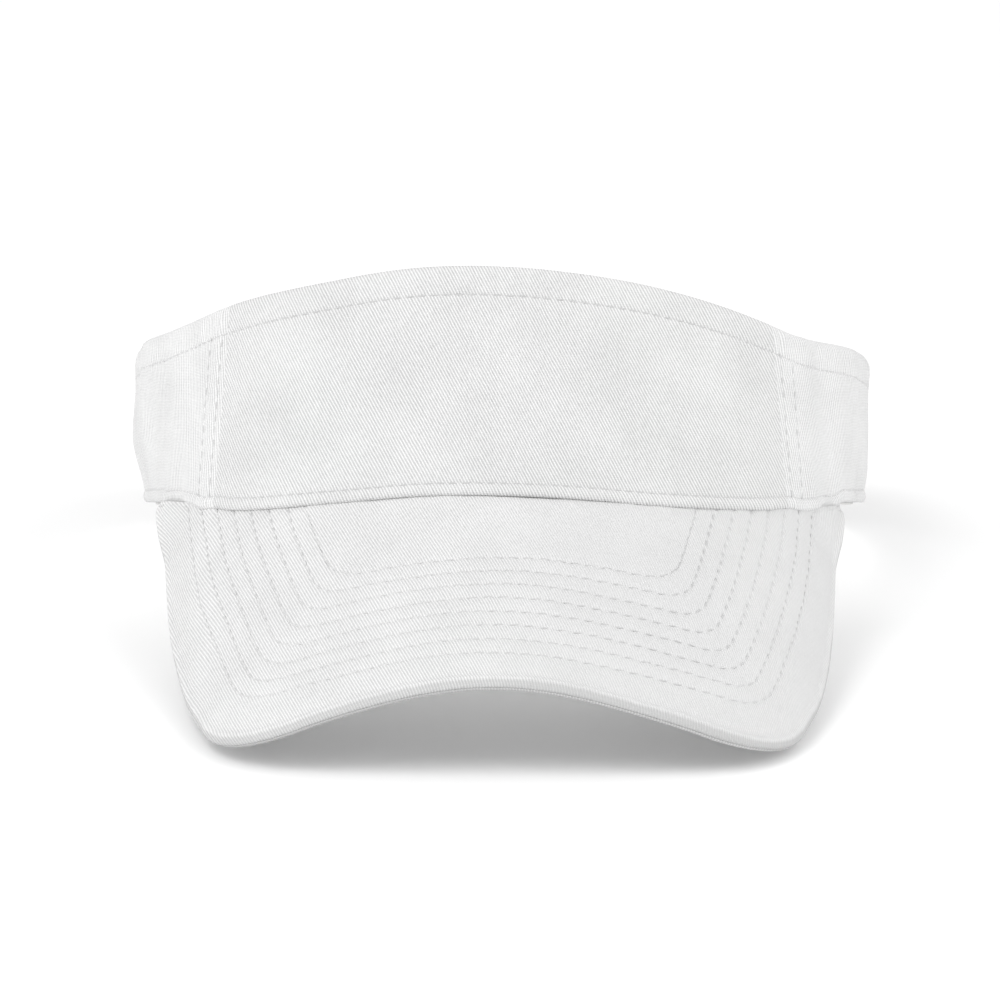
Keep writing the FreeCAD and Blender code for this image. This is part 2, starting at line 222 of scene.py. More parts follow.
class Outline:
    """Tangent arcs from the line of symmetry, then a straight line, measured by distance along them."""

    def __init__(self, arcs, start):
        self.arcs = []
        u, d = start
        turn = 0.0
        done = 0.0
        for radius, degrees in arcs:
            centre = (u - radius * math.sin(turn), d + radius * math.cos(turn))
            self.arcs.append((done, turn, radius, centre))
            turn += math.radians(degrees)
            u = centre[0] + radius * math.sin(turn)
            d = centre[1] - radius * math.cos(turn)
            done += radius * math.radians(degrees)
        self.length = done
        self.end = (u, d)

    def along(self, degrees):
        """Distance along the outline to where it has turned by this much."""
        turn = math.radians(abs(degrees))
        for done, first, radius, centre in self.arcs:
            if turn >= first:
                distance = done + (turn - first) * radius
        return math.copysign(min(distance, self.length), degrees)

    def turn(self, along):
        size = np.minimum(np.abs(along), self.length)
        turn = np.zeros_like(size)
        for done, first, radius, centre in self.arcs:
            turn = np.where(size >= done, first + (size - done) / radius, turn)
        return turn

    def point(self, along, inset):
        turn = self.turn(along)
        u = np.zeros_like(turn)
        d = np.zeros_like(turn)
        for done, first, radius, centre in self.arcs:
            here = turn >= first - 1e-9
            u = np.where(here, centre[0] + (radius - inset) * np.sin(turn), u)
            d = np.where(here, centre[1] - (radius - inset) * np.cos(turn), d)
        beyond = np.maximum(np.abs(along) - self.length, 0)
        return np.copysign(1.0, along) * (u - beyond), d


BAND = Outline(BAND_ARCS, (0.0, 0.0))
BACK_DEPTH = BAND.end[1]
SEAM = BAND.along(SEAM_TURN)
ARM_END = BAND.along(ARM_END_TURN)


def band_lean(turn):
    return FRONT_LEAN * np.maximum(0, np.cos(turn)) ** 1.5 + SIDE_LEAN * np.sin(turn) ** 2


def arm_sway(along, height):
    """How far the worn, soft arms draw in, unevenly, beside the ends of the bill."""
    size = np.abs(along)
    window = smooth((size - SWAY_STARTS[0]) / SWAY_STARTS[1]) * smooth((SWAY_STOPS[0] - size) / SWAY_STOPS[1])
    arms = []
    for tuck, up_to, flare in ARM_SWAY:
        arms.append(tuck * (1 - smooth((height - BAND_FOOT) / up_to)) - flare * smooth(height / FLARE_HEIGHT))
    return window * np.where(along > 0, arms[1], arms[0])


def band(along, depth, height):
    """Point of the band; the three may be arrays that fit each other."""
    along, depth, height = np.broadcast_arrays(*np.atleast_1d(along, depth, height))
    inset = depth + band_lean(BAND.turn(along)) * height + arm_sway(along, height)
    u, d = BAND.point(along, inset)
    return np.stack((u, d, height), -1)


def top_height(depth):
    back = np.maximum(0, depth - REAR_TAPER_FROM)
    fall = TOP_SLOPE * depth + REAR_TAPER * back ** 2
    return TOP_SHOULDER + TOP_PEAK * np.exp(-np.maximum(0, depth) / TOP_FALL) - fall


def top_unevenness(u, d):
    """How far the worn upper edge lies below its even curve."""
    skew = np.sin(math.pi * u / 150) * (1 - 0.45 * smooth((d - 45) / 40))
    skew = TOP_SKEW * skew * smooth((BACK_DEPTH - d) / 60) + TOP_DROP * hump(u, 0, 40)
    for middle, width, drop in TOP_DIPS:
        skew = skew + drop * hump(u, middle, width)
    return skew


RISE = VAULT_RADIUS * math.cos(BILL_SLOPE)


def vault_drop(u):
    """How far the bill's upper face lies below its crown line, square to that line."""
    return RISE * (1 - np.sqrt(1 - np.minimum(np.abs(u) / VAULT_RADIUS, 0.999) ** 2))


def root_settling(u, d):
    """How far the bill's ends are pulled up and spread where they meet the band."""
    size = np.abs(u)
    slack = ROOT_SLACK[0] + ROOT_SLACK[1] * np.sin(math.pi * np.clip(u, -60, 60) / 60)
    slack = slack - ROOT_SLACK[2] * smooth((size - 30) / 34) + ROOT_SLACK[3] * smooth((size - 66) / 8)
    up = TIP_LIFT * smooth((-u - 69) / 5) * smooth((d - 25) / 25) - slack * smooth((d + 20) / 20)
    return up, np.sign(u) * TIP_SPREAD * smooth((size - 55) / 20) * smooth((d - 50) / 16)


def edge_tables():
    """Heights of the band's upper and lower edges, for distances along it."""
    along = np.linspace(-BAND.length, BAND.length, 1601)
    top = np.full_like(along, 40.0)
    foot = np.zeros_like(along)
    top_front = FRONT_LEAN * (TOP_SHOULDER + TOP_PEAK)
    for step in range(30):
        u, d = band(along, 0, top).T[:2]
        top = mix(top, top_height(d - top_front) - top_unevenness(u, d), 0.5)
        u, d = band(along, 0, foot).T[:2]
        up = root_settling(u, d)[0]
        on_bill = (d * math.sin(BILL_SLOPE) - vault_drop(u)) / math.cos(BILL_SLOPE) + up
        behind = smooth((d - BILL_ROOT_DEPTH + 12) / 12)
        foot = mix(foot, mix(on_bill, BAND_FOOT, behind), 0.5)
    return along, top, foot


EDGE_ALONG, EDGE_TOP, EDGE_FOOT = edge_tables()


def top_edge(along):
    return np.interp(along, EDGE_ALONG, EDGE_TOP)


def foot_edge(along):
    return np.interp(along, EDGE_ALONG, EDGE_FOOT)


VAULT_U = VAULT_RADIUS * np.sin(np.linspace(0, math.radians(89.5), 1500))
VAULT_ARC = run_along(np.stack((VAULT_U, vault_drop(VAULT_U)), -1))


def bill(across, forward, depth):
    """Point of the bill, from its place in the flat pattern and its depth below the upper face."""
    across, forward, depth = np.broadcast_arrays(*np.atleast_1d(across, forward, depth))
    u = np.copysign(np.interp(np.abs(across), VAULT_ARC, VAULT_U), across)
    slope = RISE * u / (VAULT_RADIUS ** 2 * np.sqrt(1 - np.minimum((u / VAULT_RADIUS) ** 2, 0.998)))
    size = np.sqrt(1 + slope ** 2)
    u_deep = u - depth * slope / size
    drop = vault_drop(u) + depth / size
    d = -forward * math.cos(BILL_SLOPE) + drop * math.sin(BILL_SLOPE)
    w = -forward * math.sin(BILL_SLOPE) - drop * math.cos(BILL_SLOPE)
    arch = BILL_CROWN * np.cos(math.pi * u_deep / 42) * np.exp(-((u_deep / 70) ** 4))
    w = w + (arch - BILL_SKEW * np.sin(math.pi * u_deep / 80)) * smooth(forward / 50)
    up, spread = root_settling(u_deep, d)
    hidden = smooth((d - 66) / 9)
    spread = spread - TIP_TUCK * np.sign(u_deep) * hidden + BILL_SHIFT * smooth((forward + 30) / 60)
    return np.stack((u_deep + spread, d, w + up - TIP_FALL * hidden), -1)


def to_pattern(points):
    """Places in the bill's flat pattern of points on its upper face."""
    across = np.copysign(np.interp(np.abs(points[:, 0]), VAULT_U, VAULT_ARC), points[:, 0])
    forward = -points[:, 1] * math.cos(BILL_SLOPE) - points[:, 2] * math.sin(BILL_SLOPE)
    return np.stack((across, forward), -1)


# --- placing in the frame
JOINTS = {joint["name"]: joint for joint in frame["record"]["behaviour"]["joints"]}
MOUNTS = {mount["name"]: mount for mount in frame["record"]["mounts"]}
UP = np.array(JOINTS["left_arm_flex"]["axis"], float)
ACROSS = np.array((1.0, 0.0, 0.0))
BACK = np.cross(UP, ACROSS)
ORIGIN = np.array(MOUNTS["head_opening"]["pos_m"], float) - BACK * BACK_DEPTH / 2.0 / 1000.0


def placed(points):
    points = np.asarray(points, float)
    return ORIGIN + (points[..., 0:1] * ACROSS + points[..., 1:2] * BACK + points[..., 2:3] * UP) / 1000.0


def follow(parts, arm=None):
    """The pieces ride on the front of the visor; those of an arm have their placement baked into their
    meshes.
    """
    for part in parts:
        if arm:
            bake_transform(part)
        else:
            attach(part, "front")


def bend(parts):
    """The pieces across the back have their placement baked into their meshes."""
    for part in parts:
        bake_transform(part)


# --- meshes
def link(name, data):
    made = bpy.data.objects.new(name, data)
    bpy.context.scene.collection.objects.link(made)
    return made


def add_piece(name, material, slot, points, faces, cloth):
    """Mesh object from points in millimetres; cloth gives each point's place on the cloth."""
    mesh = bpy.data.meshes.new(name)
    mesh.vertices.add(len(points))
    mesh.vertices.foreach_set("co", placed(points).astype(np.float32).ravel())
    mesh.loops.add(faces.size)
    mesh.loops.foreach_set("vertex_index", faces.astype(np.int32).ravel())
    mesh.polygons.add(len(faces))
    mesh.polygons.foreach_set("loop_start", np.arange(0, faces.size, faces.shape[1], dtype=np.int32))
    mesh.update(calc_edges=True)
    mesh.polygons.foreach_set("use_smooth", np.ones(len(faces), bool))
    attribute = mesh.attributes.new("cloth", "FLOAT_VECTOR", "POINT")
    attribute.data.foreach_set("vector", cloth.astype(np.float32).ravel())
    mesh.validate()
    mesh.materials.append(material)
    return link(name, mesh)


def grid_normals(grid, wrap=False):
    across = np.gradient(grid, axis=0)
    if wrap:
        up = (np.roll(grid, -1, axis=1) - np.roll(grid, 1, axis=1)) / 2
    else:
        up = np.gradient(grid, axis=1)
    normal = np.cross(across, up)
    return normal / np.maximum(np.linalg.norm(normal, axis=-1, keepdims=True), 1e-9)


def grid_quads(index, wrap=False):
    """Quads of a grid of point numbers, turned so that they face along grid_normals."""
    after = np.roll(index, -1, axis=1)
    if not wrap:
        index = index[:, :-1]
        after = after[:, :-1]
    return np.stack((index[:-1], index[1:], after[1:], after[:-1]), -1).reshape(-1, 4)


def add_cloth(name, material, slot, replaced, middle, thickness, x, y, shaded=0.0, wrap=False):
    """Closed sheet of cloth round a grid of points, in the place of CAD nodes.

    x and y are places on the cloth.  shaded is 1 where shade is painted into the cloth's colour.
    """
    rows, columns = middle.shape[:2]
    step = grid_normals(middle, wrap) * (np.broadcast_to(thickness, (rows, columns))[..., None] / 2)
    points = np.concatenate(((middle + step).reshape(-1, 3), (middle - step).reshape(-1, 3)))
    places = np.stack(np.broadcast_arrays(x, y, shaded), -1).reshape(-1, 3)
    outer = np.arange(rows * columns).reshape(rows, columns)
    inner = outer + rows * columns
    faces = [grid_quads(outer, wrap), grid_quads(inner, wrap)[:, ::-1]]
    rims = [(outer[0], inner[0], -1), (outer[-1], inner[-1], 1)]
    if not wrap:
        rims = [(outer[:, 0], inner[:, 0], 1), (outer[:, -1], inner[:, -1], -1)] + rims
    for over, under, order in rims:
        rim = np.stack((over, under), 1)[:, ::order]
        if wrap:
            rim = np.concatenate((rim, rim[:1]))
        faces.append(grid_quads(rim)[:, ::-1])
    piece = add_piece(name, material, slot, points, np.concatenate(faces), np.concatenate((places, places)))
    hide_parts(*replaced)
    return piece


def rim_taper(count, few=2):
    """1 along a sheet, falling to a thin rounded rim over a few points at each end."""
    place = np.arange(count)
    return rounded(np.minimum(place, place[::-1]), few)


# --- thread
def stitch_template(length, thickness):
    """One stitch lying along x on the plane z = 0, its ends dipping into the cloth."""
    places = np.array((-1.0, -0.86, -0.6, -0.2, 0.2, 0.6, 0.86, 1.0))
    girth = np.array((0.35, 0.8, 1.0, 1.0, 1.0, 1.0, 0.8, 0.35))[:, None] * thickness / 2
    lift = thickness * (0.12 - 0.75 * np.abs(places) ** 5)
    around = np.arange(6) * math.pi / 3
    along = np.repeat(places * length / 2, 6).reshape(-1, 6)
    points = np.stack((along, girth * np.cos(around), girth * np.sin(around) + lift[:, None]), -1)
    cloth = np.stack(np.broadcast_arrays(along, around * thickness / 2, 0.0), -1)
    ring = np.arange(along.size).reshape(along.shape)
    ends = (ring[0, [0, 3, 2, 1]], ring[0, [0, 5, 4, 3]], ring[-1, [0, 1, 2, 3]], ring[-1, [0, 3, 4, 5]])
    faces = np.concatenate((grid_quads(ring, True)[:, ::-1], ends))
    return points.reshape(-1, 3), faces, cloth.reshape(-1, 3)


class Thread:
    """Stitches gathered into one piece."""

    def __init__(self, seed):
        self.parts = []
        self.count = 0
        self.random = np.random.default_rng(seed)

    def sew(self, line, normal, pitch=BAND_PITCH, length=0.72, thickness=THREAD, phase=0.0):
        """Sews along a line of points; length is the share of the pitch that shows on this side."""
        run = run_along(line)
        centres = np.arange(pitch * (0.5 + phase), run[-1] - pitch * 0.3, pitch)
        if not len(centres):
            return

        def at(values, where):
            return np.stack([np.interp(where, run, values[:, k]) for k in range(3)], -1)

        def unit(vectors):
            return vectors / np.linalg.norm(vectors, axis=1, keepdims=True)

        centres = centres + self.random.normal(0.0, 0.03 * pitch, len(centres))
        reach = pitch * length / 2
        along = unit(at(line, centres + reach) - at(line, centres - reach))
        up = at(normal, centres)
        up = unit(up - along * np.sum(up * along, axis=1, keepdims=True))
        side = np.cross(up, along)
        sway = self.random.normal(0.0, 0.03, len(centres))
        along = along + side * sway[:, None]
        points, faces, cloth = stitch_template(pitch * length, thickness)
        middle = (at(line, centres + reach) + at(line, centres - reach)) / 2 * 0.5 + at(line, centres) * 0.5
        made = middle[:, None]
        for axis, direction in enumerate((along, side, up)):
            made = made + points[None, :, axis:axis + 1] * direction[:, None]
        starts = self.count + np.arange(len(centres)) * len(points)
        faces = faces + starts[:, None, None]
        cloth = cloth + centres[:, None, None] * ACROSS
        self.parts.append((made.reshape(-1, 3), faces.reshape(-1, 4), cloth.reshape(-1, 3)))
        self.count += len(points) * len(centres)

    def sew_columns(self, grid, thickness, columns, ends, wrap=False):
        """Sews along columns of a sheet's outer face, all but a few points at the ends."""
        normal = grid_normals(grid, wrap)
        face = grid + normal * thickness / 2
        for column in columns:
            self.sew(face[ends:-ends, column], normal[ends:-ends, column])
        return face, normal

    def piece(self, name, material):
        return add_piece(name, material, "thread", *map(np.concatenate, zip(*self.parts)))


# --- materials
class Surface:
    """A node material under construction; coordinates are millimetres on the cloth."""

    def __init__(self, name, roughness, sheen=0.0, specular=0.35):
        self.material = bpy.data.materials.new(name)
        self.material.use_nodes = True
        self.tree = self.material.node_tree
        self.shader = self.tree.nodes["Principled BSDF"]
        constants = {"Roughness": roughness, "Specular IOR Level": specular, "Sheen Weight": sheen,
                     "Sheen Roughness": 0.5}
        for key, value in constants.items():
            self.shader.inputs[key].default_value = value

    def node(self, kind, settings=None, **inputs):
        """Adds a node; an input is called by its name, with _ for a space, or i and its number."""
        made = self.tree.nodes.new("ShaderNode" + kind)
        for key, value in (settings or {}).items():
            setattr(made, key, value)
        for key, value in inputs.items():
            socket = made.inputs[int(key[1:])] if key[1:].isdigit() else made.inputs[key.replace("_", " ")]
            if isinstance(value, bpy.types.NodeSocket):
                self.tree.links.new(value, socket)
            else:
                socket.default_value = value
        return made

    def cloth(self):
        return self.node("Attribute", {"attribute_name": "cloth"}).outputs["Vector"]

    def object(self):
        place = self.node("TexCoord").outputs["Object"]
        return self.node("VectorMath", {"operation": "SCALE"}, i0=place, Scale=1000.0).outputs[0]

    def part(self, vector, axis):
        return self.node("SeparateXYZ", Vector=vector).outputs[axis]

    def moved(self, vector, degrees=0.0, scale=(1.0, 1.0, 1.0)):
        turned = self.node("Mapping", Vector=vector, Rotation=(0.0, 0.0, math.radians(degrees)))
        return self.node("Mapping", Vector=turned.outputs[0], Scale=scale).outputs[0]

    def noise(self, vector, scale, detail=2.0, roughness=0.5):
        made = self.node("TexNoise", Vector=vector, Scale=scale, Detail=detail, Roughness=roughness)
        return made.outputs["Fac"]

    def waves(self, vector, pitch, distortion=0.6):
        made = self.node("TexWave", {"bands_direction": "X"}, Vector=vector, Scale=0.3142 / pitch,
                         Distortion=distortion, Detail=2.0, Detail_Scale=1.4)
        return made.outputs["Fac"]

    def math(self, operation, a, b):
        return self.node("Math", {"operation": operation}, i0=a, i1=b).outputs[0]

    def blend(self, *parts):
        """Sum of (socket, weight) pairs."""
        total = 0.0
        for socket, weight in parts:
            total = self.math("ADD", self.math("MULTIPLY", socket, weight), total)
        return total

    def span(self, value, low, high, to_low=0.0, to_high=1.0):
        made = self.node("MapRange", Value=value, From_Min=low, From_Max=high, To_Min=to_low, To_Max=to_high)
        return made.outputs["Result"]

    def finish(self, shade, dark, light, height, distance, rough=None):
        """Joins a colour between dark and light, relief and, where given, a roughness that varies."""
        ramp = self.node("ValToRGB", Fac=shade)
        for stop, colour in zip(ramp.color_ramp.elements, (dark, light)):
            stop.color = (*colour, 1.0)
        self.tree.links.new(ramp.outputs["Color"], self.shader.inputs["Base Color"])
        bump = self.node("Bump", Height=height, Distance=distance / 1000.0)
        self.tree.links.new(bump.outputs["Normal"], self.shader.inputs["Normal"])
        if rough is not None:
            self.tree.links.new(rough, self.shader.inputs["Roughness"])
        return self.material


def grey(level):
    return (level, level, level)


def twill(name, dark, light, pitch=0.68, angle=-28.0, depth=0.2, clouds=0.32, painted_light_fade=None, painted_shade=0.0):
    """Washed cotton twill: steep ribs broken by the crossing yarns, with cloudy wear.

    The fading range gives the places across between which the ribs' contrast is painted away, where light
    washes it out, and the share of it left; the shade weight darkens the colour by the third number of a
    place, which is painted shade.
    """
    made = Surface(name, 0.9, sheen=0.12)
    place = made.cloth()
    ribs = made.waves(made.moved(place, angle), pitch, 0.5)
    yarns = made.noise(made.moved(place, angle, (1.9, 0.75, 1.0)), 1.0, 3.0, 0.6)
    cross = made.waves(made.moved(place, 90.0 + angle * 0.1), pitch * 0.62, 1.6)
    fibres = made.noise(place, 5.0, 2.0, 0.7)
    cloud = made.noise(place, 0.045, 4.0, 0.62)
    height = made.blend((ribs, 0.55), (yarns, 0.5), (cross, 0.14), (fibres, 0.22))
    shade = made.blend((ribs, 0.42), (yarns, 0.34), (cross, 0.08), (fibres, 0.16), (cloud, clouds))
    shade = made.span(shade, 0.28, 0.90)
    if painted_light_fade:
        # painted light: the ribs' contrast is lowered across the cloth, where light washes them out
        kept = made.span(made.part(place, "X"), painted_light_fade[0], painted_light_fade[1], 1.0, painted_light_fade[2])
        shade = made.math("ADD", made.math("MULTIPLY", made.math("SUBTRACT", shade, 0.5), kept), 0.5)
    if painted_shade:
        # painted shade: darker by the third number of the cloth's place
        shade = made.blend((shade, 1.0), (made.part(place, "Z"), -painted_shade))
    return made.finish(shade, dark, light, height, depth, made.span(cloud, 0.3, 0.7, 0.86, 0.95))


def thread_material(name, light, middle, near, far):
    """Spun thread, painted whiter between these distances across from the middle, where light washes it out.
    """
    made = Surface(name, 0.7, sheen=0.1)
    place = made.cloth()
    strands = made.waves(made.moved(place, 38.0), 0.16, 0.4)
    shade = made.blend((strands, 0.6), (made.noise(place, 7.0), 0.5))
    # painted light: the thread is whiter away from the middle, where light washes its stitches out
    away = made.math("ABSOLUTE", made.math("SUBTRACT", made.part(made.object(), "X"), middle), 0.0)
    shade = made.blend((shade, 0.7), (made.span(away, near, far), 0.25))
    return made.finish(shade, grey(0.44), grey(light), strands, 0.04)


def tape_material(name, scale, dark, light, roughness, depth):
    """Knitted nylon ground of the hook and loop tapes."""
    made = Surface(name, roughness, sheen=0.2)
    place = made.cloth()
    wales = made.waves(place, 0.9, 0.3)
    courses = made.waves(made.moved(place, 90.0), 0.7, 0.3)
    height = made.blend((wales, 0.4), (courses, 0.4), (made.noise(place, scale, 4.0, 0.7), 0.8))
    return made.finish(made.span(height, 0.2, 1.2), dark, light, height, depth)


def satin_material():
    made = Surface("satin_label", 0.42, sheen=0.1, specular=0.5)
    place = made.cloth()
    floats = made.waves(made.moved(place, 90.0), 0.22, 0.5)
    slubs = made.noise(made.moved(place, 0.0, (0.4, 3.0, 1.0)), 1.0, 3.0)
    height = made.blend((floats, 0.7), (slubs, 0.4))
    shade = made.blend((floats, 0.5), (slubs, 0.6))
    return made.finish(shade, (0.74, 0.74, 0.73), (0.93, 0.93, 0.92), height, 0.03)


def hidden_material(name, dark, light, scale, roughness, depth):
    """Interlining, foam and board inside the visor, in object coordinates."""
    made = Surface(name, roughness)
    place = made.object()
    cells = made.node("TexVoronoi", Vector=place, Scale=scale * 0.8).outputs["Distance"]
    height = made.blend((made.noise(place, scale, 4.0, 0.6), 0.6), (cells, 0.5))
    return made.finish(made.span(height, 0.2, 0.9), dark, light, height, depth)


# These copies of one white twill differ in weave and in grey; the greys are painted light and shade, the
# front darker than the bill and the sides, as light falls on them.
TWILL = twill("washed_twill", grey(0.40), grey(0.755))
BILL_TWILL = twill("washed_twill_bill", grey(0.47), grey(0.77), angle=-19.0, painted_light_fade=(-12.0, 22.0, 0.5),
                   painted_shade=0.55)
SIDE_TWILL = twill("washed_twill_sides", grey(0.43), grey(0.78), pitch=1.1, angle=-14.0, clouds=0.4)
LINING = twill("lining_twill", (0.68, 0.68, 0.67), grey(0.755), pitch=0.6, angle=30.0, depth=0.1)
SWEATBAND = twill("sweatband_twill", (0.66, 0.66, 0.65), (0.85, 0.85, 0.84), pitch=0.5, angle=-35.0,
                  depth=0.12)
THREAD_WHITE = thread_material("spun_thread", 0.78, 0.0, 45.0, 75.0)
BILL_THREAD = thread_material("spun_thread_bill", 0.80, 22.0, 20.0, 46.0)
HOOK_TAPE = tape_material("hook_tape_nylon", 3.0, grey(0.62), grey(0.86), 0.5, 0.1)
LOOP_TAPE = tape_material("loop_tape_nylon", 5.0, grey(0.68), grey(0.9), 0.85, 0.25)
SATIN = satin_material()
INTERLINING = hidden_material("woven_interlining", (0.62, 0.60, 0.55), (0.85, 0.83, 0.78), 1.6, 0.9, 0.2)
FOAM = hidden_material("polyester_wadding", (0.75, 0.73, 0.66), (0.92, 0.90, 0.84), 1.2, 0.95, 0.3)
BOARD = hidden_material("plastic_board", (0.78, 0.78, 0.77), (0.88, 0.88, 0.87), 0.6, 0.45, 0.05)


# --- bill
def tangent_circle(first, second, radius):
    """Centre of a circle of this radius inside and touching two (centre, radius) circles."""
    near = first[1] - radius
    far = second[1] - radius
    between = second[0] - first[0]
    length = np.hypot(*between)
    along = (near ** 2 - far ** 2 + length ** 2) / (2 * length)
    unit = between / length
    return first[0] + unit * along + np.array((unit[1], -unit[0])) * math.sqrt(near ** 2 - along ** 2)


def pattern_row(margin, arcs):
    """Half of a line of the pattern this far inside its outline, from the crown line to the band."""
    made = Outline(arcs, (0.0, -PATTERN_REACH)).arcs
    last = ROW_LINES[-1]
    side_last = ROW_MARGIN[1] + ROW_STEP[1] * (BILL_ROWS - 1)
    side_margin = np.interp(margin, (0.0, ROW_MARGIN[0], last), (0.0, ROW_MARGIN[1], side_last))
    corner = np.interp(margin, (0.0, ROW_MARGIN[0], 18.0, 42.0, last), (arcs[1][0], *ROW_CORNERS))
    circles = []
    for inside, (done, turn, radius, centre) in ((margin, made[0]), (side_margin, made[2])):
        circles.append((np.array((centre[0], -centre[1])), radius - inside))
    front, side = circles
    middle = tangent_circle(front, side, corner)
    first = math.atan2(*(middle - front[0]))
    second = math.atan2(*(middle - side[0]))
    parts = ((front, 0.0, first), ((middle, corner), first, second), (side, second, second + 0.5))
    points = []
    for (centre, radius), start, stop in parts:
        turn = np.linspace(start, stop, 120)
        points.append(centre + radius * np.stack((np.sin(turn), np.cos(turn)), -1))
    return np.concatenate(points)


def polar(line):
    """Directions and distances of a line's points, seen from where the rays start."""
    across, forward = (line - PATTERN_CENTRE).T
    return np.arctan2(across, forward), np.hypot(across, forward)


def ray_length(line, angles):
    """How far out along each ray a line of the pattern lies."""
    return np.interp(np.abs(angles), *polar(line))


def bill_lines():
    """Distances from the bill's edge of the lines of its mesh, and which of them carry stitches."""
    lines = [0.0, 0.05, 0.18, 0.38, 0.65, 1.0, 1.4, 1.8, 2.2, 2.6, 3.1, 3.8, 4.8, 6.2, 7.8, 9.3, 10.5, 11.2]
    stitched = []
    for row in ROW_LINES:
        stitched.append(len(lines))
        lines += [row, row + 0.4, row + 0.85]
        if row < ROW_LINES[-1]:
            lines += [row + step for step in (1.6, 2.65, 3.65, 4.35, 4.85)]
    return lines, stitched


def bill_grid():
    """The bill's mesh in the flat pattern: places, distances in from the edge, sewn lines and what shows."""
    edge = pattern_row(0.0, PATTERN_ARCS)
    edge_angle = polar(edge)[0]
    run = run_along(edge)
    last_run = np.interp(LAST_RAY, edge_angle, run)
    half = np.interp(np.linspace(0, last_run, RAYS // 2 + 1), run, edge_angle)
    angles = np.concatenate((-half[:0:-1], half))
    along = np.linspace(0, BAND.along(90.0) * 1.2, 300)
    seam = to_pattern(band(along, 0, foot_edge(along)))[band(along, 0, 0)[:, 1] < BILL_ROOT_DEPTH + 2]
    root = np.minimum(ray_length(seam, angles) - 2, ray_length(edge, angles) - 1.2)
    lines, stitched = bill_lines()
    reach = []
    for margin in lines:
        rowward = float(smooth((margin - 3.2) / (ROW_MARGIN[0] - 3.2)))
        near_edge = ray_length(pattern_row(min(margin, ROW_MARGIN[0]), PATTERN_ARCS), angles)
        near_row = ray_length(pattern_row(margin, ROW_ARCS), angles)
        reach.append(mix(near_edge, near_row, rowward))
    innermost = reach[-1]
    for share in np.linspace(0, 1, 21)[1:]:
        reach.append(innermost + (root - innermost) * share)
        lines.append(lines[-1] + 1.2)
    reach = np.stack(reach, 1)
    shown = reach > root[:, None] + 1
    apart = np.arange(reach.shape[1])[::-1] * 0.012  # keeps the points that would pass the root from meeting
    reach = np.maximum(reach, root[:, None] + apart)
    rays = np.stack((np.sin(angles), np.cos(angles)), -1)[:, None]
    return PATTERN_CENTRE + reach[..., None] * rays, np.array(lines), stitched, shown


def edge_roll(margin):
    """Depth of the upper cover near its edge, where it turns down to meet the lower cover."""
    inside = np.clip(1 - margin / EDGE_ROLL, 0, 0.9995)
    turned = BILL_THICKNESS / 2 * (1 - np.sqrt(1 - inside ** 2))
    return turned - 0.34 * hump(margin, 2.0, 0.85) + 0.16 * hump(margin, 3.7, 0.9)


def bill_relief(places, margin, stitched, shown, seed):
    """How far the quilted cloth stands out."""
    across, forward = places[..., 0], places[..., 1]
    relief = np.zeros_like(across)
    for row, column in zip(ROW_LINES, stitched):
        run = run_along(places[:, column])
        run = run - run[np.argmax(shown[:, column])]
        from_hole = np.abs((run / BILL_PITCH + 0.5) % 1 - 0.5) * BILL_PITCH
        hole = hump(from_hole, 0, 0.75)[:, None]
        relief -= (0.05 + 0.24 * (1 - hole)) * hump(margin, row, 0.62)
        relief += 0.08 * hole * hump(margin, row, 1.1)
    phase = (margin - ROW_LINES[0]) / ROW_STEP[0]
    quilted = smooth(margin - ROW_LINES[0]) * smooth(ROW_LINES[-1] - margin)
    relief += 0.07 * np.sin(math.pi * phase) ** 2 * quilted
    relief += 0.05 * ripple(across, forward, 2.6, seed) * hump(margin, 1.6, 1.4)
    relief += 0.07 * ripple(across, forward, 9.0, seed + 1)
    relief += 0.16 * ripple(across, forward, 38.0, seed + 2)
    return relief


def make_bill():
    """The two covers, which meet at the edge, and the eight rows of stitches through each."""
    places, lines, stitched, shown = bill_grid()
    ply = np.full_like(lines, BILL_PLY)
    ply[:len(LIP_PLIES)] = LIP_PLIES
    # painted shade: the cloth is darkened in its colour over the last two millimetres to the bill's edge,
    # where the lip turns down
    lip_shade = 1 - smooth(lines - 0.9)
    for side, order, relief_seed, thread_seed in (("upper", 1, 11, 5), ("lower", -1, 47, 6)):
        relief = bill_relief(places, lines, stitched, shown, relief_seed)
        depth = edge_roll(lines) - relief * smooth(lines / 1.5) + 0.25 * smooth(lines / 1.2)
        if side == "lower":
            depth = BILL_THICKNESS - depth
        across, forward = places[..., 0], places[..., 1]
        middle = bill(across, forward, depth)[::order]
        word = "bill_" + side
        piece = add_cloth(word + "_cloth", BILL_TWILL, "twill", [word + "_cover"], middle, ply,
                          order * across[::order], -forward[::order], lip_shade)
        normal = grid_normals(middle)
        face = (middle + normal * ply[:, None] / 2)[::order]
        thread = Thread(thread_seed)
        for column in stitched:
            visible = shown[:, column]
            thread.sew(face[visible, column], normal[::order][visible, column], BILL_PITCH, 0.68)
        follow((piece, thread.piece(word + "_stitching", BILL_THREAD)))


def make_insert():
    """The springy board between the covers."""
    places, lines = bill_grid()[:2]
    places = places[:, lines > 2.3][:, ::2]
    across, forward = places[..., 0], places[..., 1]
    middle = bill(across, forward, BILL_THICKNESS / 2)
    follow([add_cloth("bill_insert_board", BOARD, "insert", ["bill_insert"], middle, BOARD_PLY, across,
                      forward)])


# --- band
def steps_between(first, last, step, marks=()):
    """Distances from first to last, evenly spaced, with extra ones at marks and close to both ends."""
    places = list(np.linspace(first, last, int(round((last - first) / step)) + 1))
    for mark in marks:
        places += [mark - 0.5, mark, mark + 0.5]
    for off in (0.12, 0.3, 0.55, 0.85, 1.25):
        places += [first + off, last - off]
    places = np.sort(places)
    keep = np.concatenate(([True], np.diff(places) > 0.09))
    for mark in marks:
        keep[np.argmin(np.abs(places - mark))] = True
    return places[keep]


